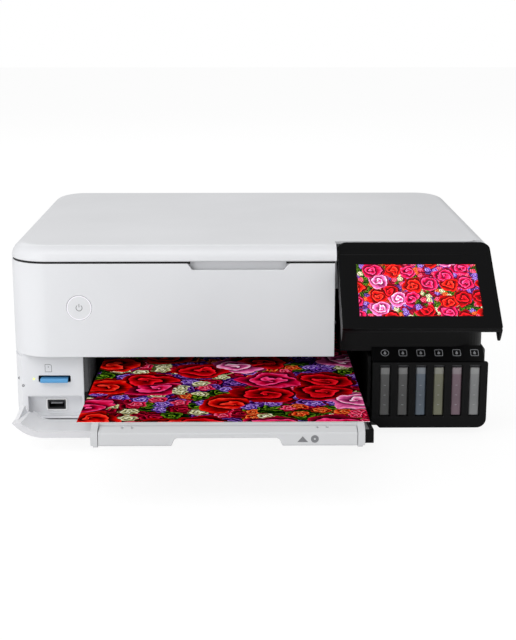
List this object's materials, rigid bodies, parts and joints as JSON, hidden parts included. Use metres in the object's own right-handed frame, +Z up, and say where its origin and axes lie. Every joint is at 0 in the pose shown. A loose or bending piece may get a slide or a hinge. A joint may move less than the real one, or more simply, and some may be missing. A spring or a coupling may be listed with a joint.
{
  "type": "inkjet printer",
  "caption": "Desktop inkjet printer and scanner with a lifting lid, tilting touch panel, refillable ink tanks, paper cassettes and an extended output tray holding a printed sheet.",
  "frame": {"origin": "bottom centre of the whole object's box at rest, on the surface the feet stand on", "axes": "+Z up; +Y from the front, where the sheet comes out, to the back; +X to the right as seen from the front"},
  "size_m": [0.403, 0.548, 0.162],
  "materials": {
    "white_shell": "satin moulded plastic",
    "black_shell": "fine satin black plastic",
    "dark_frame": "dark grey moulded plastic",
    "panel_gloss": "polished black",
    "screen": "glossy colour display",
    "tank_plastic": "translucent smoked plastic",
    "tube_plastic": "flexible tube ribbon",
    "steel": "plated sheet steel",
    "rubber": "matt black rubber",
    "gear_plastic": "natural acetal",
    "circuit": "green lacquered board",
    "scan_glass": "flat float glass",
    "foam": "white foam-backed film",
    "print_paper": "glossy photo paper",
    "card_plastic": "blue moulded plastic"
  },
  "bodies": {
    "chassis": {"ac_inlet": "black_shell", "base_frame": "dark_frame", "bay_liner": "dark_frame", "card_port_panel": "white_shell", "carriage_belt": "rubber", "carriage_motor": "steel", "carriage_rail": "steel", "feed_motor": "steel", "foot_front_left": "rubber", "foot_front_right": "rubber", "foot_rear_left": "rubber", "foot_rear_right": "rubber", "front_fascia": "white_shell", "ink_tank_block": "tank_plastic", "ink_tube_ribbon": "tube_plastic", "left_cover": "white_shell", "main_board": "circuit", "panel_hinge_pin": "steel", "platen": "black_shell", "power_supply": "steel", "rear_housing": "white_shell", "right_cover": "white_shell", "tank_housing": "black_shell", "tank_window_cover": "black_shell", "usb_port": "steel"},
    "scanner_unit": {"scanner_housing": "white_shell", "scanner_glass": "scan_glass"},
    "scan_bar": {"scan_carriage": "black_shell"},
    "lid": {"document_cover": "white_shell", "document_mat": "foam"},
    "control_panel": {"panel_housing": "black_shell", "touch_panel": "panel_gloss", "lcd_screen": "screen"},
    "power_button": {"power_button": "white_shell"},
    "memory_card": {"memory_card": "card_plastic"},
    "front_cover": {"front_cover": "white_shell", "front_cover_end": "black_shell"},
    "output_tray": {"output_tray": "white_shell"},
    "tray_stopper": {"tray_stopper": "white_shell"},
    "printed_sheet": {"printed_sheet": "print_paper"},
    "cassette_upper": {"cassette_upper": "dark_frame"},
    "cassette_lower": {"cassette_lower": "dark_frame"},
    "carriage": {"carriage": "black_shell"},
    "motor_pulley": {"motor_pulley": "steel"},
    "idler_pulley": {"idler_pulley": "steel"},
    "feed_roller": {"feed_roller": "rubber", "feed_gear": "gear_plastic"},
    "output_roller": {"output_roller": "rubber"},
    "feeder_guard": {"feeder_guard": "white_shell"},
    "paper_support": {"paper_support": "white_shell"},
    "edge_guide_left": {"edge_guide_left": "dark_frame"},
    "edge_guide_right": {"edge_guide_right": "dark_frame"},
    "duplex_cover": {"duplex_cover": "dark_frame"},
    "maintenance_box": {"maintenance_box": "black_shell"},
    "tank_cap_1": {"tank_cap_1": "black_shell"},
    "tank_cap_2": {"tank_cap_2": "black_shell"},
    "tank_cap_3": {"tank_cap_3": "black_shell"},
    "tank_cap_4": {"tank_cap_4": "black_shell"},
    "tank_cap_5": {"tank_cap_5": "black_shell"},
    "tank_cap_6": {"tank_cap_6": "black_shell"}
  },
  "joints": [
    {"name": "scanner_lift", "type": "hinge", "parent": "chassis", "child": "scanner_unit", "pos_m": [0, 0.209, 0.148], "axis": [-1, 0, 0], "range_deg": [0, 35]},
    {"name": "scan_travel", "type": "slide", "parent": "scanner_unit", "child": "scan_bar", "axis": [1, 0, 0], "range_m": [0, 0.3]},
    {"name": "lid_hinge", "type": "hinge", "parent": "scanner_unit", "child": "lid", "pos_m": [0, 0.2155, 0.15], "axis": [-1, 0, 0], "range_deg": [0, 75]},
    {"name": "panel_tilt", "type": "hinge", "parent": "chassis", "child": "control_panel", "pos_m": [0.1355, -0.086, 0.1424], "axis": [1, 0, 0], "range_deg": [-16, 54]},
    {"name": "power_press", "type": "slide", "parent": "chassis", "child": "power_button", "axis": [0, 1, 0], "range_m": [0, 0.0012], "stiffness_N_per_m": 600},
    {"name": "card_pull", "type": "slide", "parent": "chassis", "child": "memory_card", "axis": [0, -1, 0], "range_m": [0, 0.03]},
    {"name": "front_cover_hinge", "type": "hinge", "parent": "chassis", "child": "front_cover", "pos_m": [-0.047, -0.089, 0.0135], "axis": [1, 0, 0], "range_deg": [-27, 0]},
    {"name": "tray_retract", "type": "slide", "parent": "chassis", "child": "output_tray", "axis": [0, 1, 0], "range_m": [0, 0.175]},
    {"name": "stopper_flip", "type": "hinge", "parent": "output_tray", "child": "tray_stopper", "pos_m": [-0.0173, -0.2642, 0.0626], "axis": [1, 0, 0], "range_deg": [-90, 0]},
    {"name": "sheet_pull", "type": "slide", "parent": "output_tray", "child": "printed_sheet", "axis": [0, -0.9996, 0.0297], "range_m": [0, 0.12]},
    {"name": "cassette_upper_pull", "type": "slide", "parent": "chassis", "child": "cassette_upper", "axis": [0, -1, 0], "range_m": [0, 0.15]},
    {"name": "cassette_lower_pull", "type": "slide", "parent": "chassis", "child": "cassette_lower", "axis": [0, -1, 0], "range_m": [0, 0.2]},
    {"name": "tank_cap_1_open", "type": "hinge", "parent": "chassis", "child": "tank_cap_1", "pos_m": [0.1128, -0.0164, 0.0624], "axis": [-1, 0, 0], "range_deg": [0, 110]},
    {"name": "tank_cap_2_open", "type": "hinge", "parent": "chassis", "child": "tank_cap_2", "pos_m": [0.12793, -0.0164, 0.0624], "axis": [-1, 0, 0], "range_deg": [0, 110]},
    {"name": "tank_cap_3_open", "type": "hinge", "parent": "chassis", "child": "tank_cap_3", "pos_m": [0.14306, -0.0164, 0.0624], "axis": [-1, 0, 0], "range_deg": [0, 110]},
    {"name": "tank_cap_4_open", "type": "hinge", "parent": "chassis", "child": "tank_cap_4", "pos_m": [0.15819, -0.0164, 0.0624], "axis": [-1, 0, 0], "range_deg": [0, 110]},
    {"name": "tank_cap_5_open", "type": "hinge", "parent": "chassis", "child": "tank_cap_5", "pos_m": [0.17332, -0.0164, 0.0624], "axis": [-1, 0, 0], "range_deg": [0, 110]},
    {"name": "tank_cap_6_open", "type": "hinge", "parent": "chassis", "child": "tank_cap_6", "pos_m": [0.18845, -0.0164, 0.0624], "axis": [-1, 0, 0], "range_deg": [0, 110]},
    {"name": "carriage_travel", "type": "slide", "parent": "chassis", "child": "carriage", "axis": [-1, 0, 0], "range_m": [0, 0.21]},
    {"name": "motor_pulley_spin", "type": "hinge", "parent": "chassis", "child": "motor_pulley", "pos_m": [-0.174, 0.126, 0.099], "axis": [0, 0, -1], "continuous": true},
    {"name": "idler_pulley_spin", "type": "hinge", "parent": "chassis", "child": "idler_pulley", "pos_m": [0.174, 0.126, 0.099], "axis": [0, 0, -1], "continuous": true},
    {"name": "feed_roller_spin", "type": "hinge", "parent": "chassis", "child": "feed_roller", "pos_m": [0, 0.14, 0.077], "axis": [1, 0, 0], "continuous": true},
    {"name": "output_roller_spin", "type": "hinge", "parent": "chassis", "child": "output_roller", "pos_m": [-0.02, 0.024, 0.075], "axis": [1, 0, 0], "continuous": true},
    {"name": "feeder_guard_open", "type": "hinge", "parent": "chassis", "child": "feeder_guard", "pos_m": [-0.016, 0.2322, 0.1456], "axis": [-1, 0, 0], "range_deg": [-85, 0]},
    {"name": "paper_support_raise", "type": "slide", "parent": "chassis", "child": "paper_support", "axis": [0, -0.2079, -0.9781], "range_m": [-0.07, 0]},
    {"name": "edge_guide_slide", "type": "slide", "parent": "chassis", "child": "edge_guide_left", "axis": [1, 0, 0], "range_m": [0, 0.06]},
    {"name": "edge_guide_follow", "type": "slide", "parent": "chassis", "child": "edge_guide_right", "axis": [1, 0, 0], "range_m": [-0.06, 0]},
    {"name": "duplex_cover_pull", "type": "slide", "parent": "chassis", "child": "duplex_cover", "axis": [0, 1, 0], "range_m": [0, 0.05]},
    {"name": "maintenance_box_pull", "type": "slide", "parent": "chassis", "child": "maintenance_box", "axis": [0, 1, 0], "range_m": [0, 0.08]}
  ],
  "couplings": [
    {"joint": "motor_pulley_spin", "follows": "carriage_travel", "rad_per_m": 125},
    {"joint": "idler_pulley_spin", "follows": "carriage_travel", "rad_per_m": 125},
    {"joint": "output_roller_spin", "follows": "feed_roller_spin", "ratio": 1.4},
    {"joint": "edge_guide_follow", "follows": "edge_guide_slide", "ratio": -1}
  ]
}
